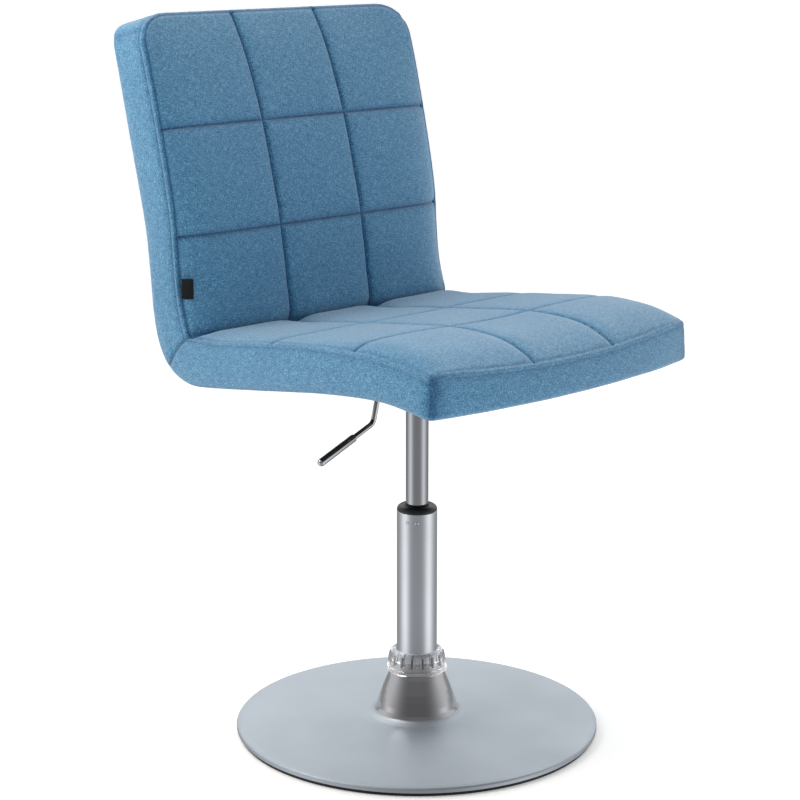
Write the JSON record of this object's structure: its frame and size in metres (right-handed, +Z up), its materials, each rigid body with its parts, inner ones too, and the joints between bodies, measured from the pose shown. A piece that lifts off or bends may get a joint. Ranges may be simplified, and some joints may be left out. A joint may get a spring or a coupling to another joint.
{
  "type": "swivel chair",
  "caption": "Upholstered swivel chair with a quilted L-shaped seat and back on a gas-lift column and a round trumpet disc base.",
  "frame": {"origin": "on the column's axis at floor level, on the underside of the floor pad", "axes": "+Z up along the column; the chair faces -Y; the sitter's right hand and the release lever are on -X"},
  "size_m": [0.45, 0.5446, 0.8792],
  "materials": {
    "blue_fabric": "matte",
    "satin_chrome": "satin",
    "bright_chrome": "gloss",
    "clear_plastic": "gloss",
    "black_plastic": "satin",
    "floor_rubber": "matte",
    "ballast_iron": "matte",
    "zinc_steel": "satin",
    "black_steel": "satin",
    "plywood": "matte",
    "foam": "matte",
    "black_cloth": "matte"
  },
  "bodies": {
    "base": {"base_disc": "satin_chrome", "floor_pad": "floor_rubber", "ballast_plate": "ballast_iron", "hub_socket": "zinc_steel", "hub_screw_1": "zinc_steel", "hub_screw_2": "zinc_steel", "hub_screw_3": "zinc_steel", "hub_screw_4": "zinc_steel", "collar_ring": "clear_plastic", "column_tube": "satin_chrome", "guide_bush": "black_plastic", "lower_race": "zinc_steel", "ball_cage": "zinc_steel"},
    "spindle": {"upper_race": "zinc_steel", "piston_rod": "zinc_steel", "rod_clip": "zinc_steel", "rubber_bumper": "floor_rubber", "piston_head": "zinc_steel"},
    "seat": {"back_foam": "foam", "back_panel": "blue_fabric", "dust_cover": "black_cloth", "front_border": "blue_fabric", "gas_cylinder": "satin_chrome", "left_side_border": "blue_fabric", "lever_channel": "black_steel", "pivot_pin": "zinc_steel", "rear_cover": "blue_fabric", "rear_wadding": "foam", "right_side_border": "blue_fabric", "rod_guide": "black_plastic", "seat_foam": "foam", "seat_panel": "blue_fabric", "seat_plate": "black_steel", "seat_screw_1": "zinc_steel", "seat_screw_2": "zinc_steel", "seat_screw_3": "zinc_steel", "seat_screw_4": "zinc_steel", "seat_shell": "plywood", "side_tab": "black_cloth", "taper_socket": "black_steel", "tee_nut_1": "zinc_steel", "tee_nut_2": "zinc_steel", "tee_nut_3": "zinc_steel", "tee_nut_4": "zinc_steel", "top_border": "blue_fabric"},
    "lever": {"lever_rod": "bright_chrome", "lever_grip": "bright_chrome"},
    "valve": {"release_pin": "zinc_steel"}
  },
  "joints": [
    {"name": "swivel", "type": "hinge", "parent": "base", "child": "spindle", "pos_m": [0, 0, 0], "axis": [0, 0, 1], "continuous": true},
    {"name": "height", "type": "slide", "parent": "spindle", "child": "seat", "axis": [0, 0, 1], "range_m": [-0.11, 0]},
    {"name": "lever_press", "type": "hinge", "parent": "seat", "child": "lever", "pos_m": [-0.036, 0, 0.452], "axis": [0, 1, 0], "range_deg": [0, 5], "stiffness_Nm_per_rad": 2, "springref_deg": -2.86},
    {"name": "pin_press", "type": "slide", "parent": "seat", "child": "valve", "axis": [0, 0, -1], "range_m": [0, 0.0033]}
  ],
  "couplings": [
    {"joint": "pin_press", "follows": "lever_press", "m_per_rad": 0.036}
  ]
}
